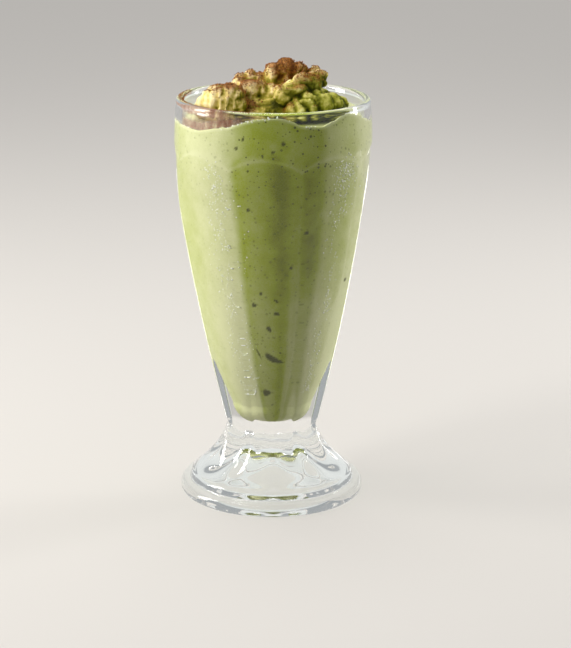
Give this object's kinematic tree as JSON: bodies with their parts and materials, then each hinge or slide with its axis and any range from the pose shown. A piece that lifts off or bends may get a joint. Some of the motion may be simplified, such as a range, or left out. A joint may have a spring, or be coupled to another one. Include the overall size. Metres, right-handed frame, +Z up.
{
  "type": "matcha frappe in a footed soda glass",
  "caption": "Pale green blended matcha drink in a footed, fluted glass, topped with piped matcha cream dusted with brown spice.",
  "frame": {"origin": "centre of the circle that the foot stands on", "axes": "+Z up along the glass, -Y towards the front"},
  "size_m": [0.0866, 0.0866, 0.1962],
  "materials": {
    "glass": "clear pressed glass, polished",
    "frappe": "blended drink, smooth and moist",
    "cream": "whipped cream, soft and matte",
    "powder": "dry ground spice"
  },
  "bodies": {
    "root": {"glass": "glass", "frappe": "frappe", "cream": "cream"}
  },
  "joints": []
}
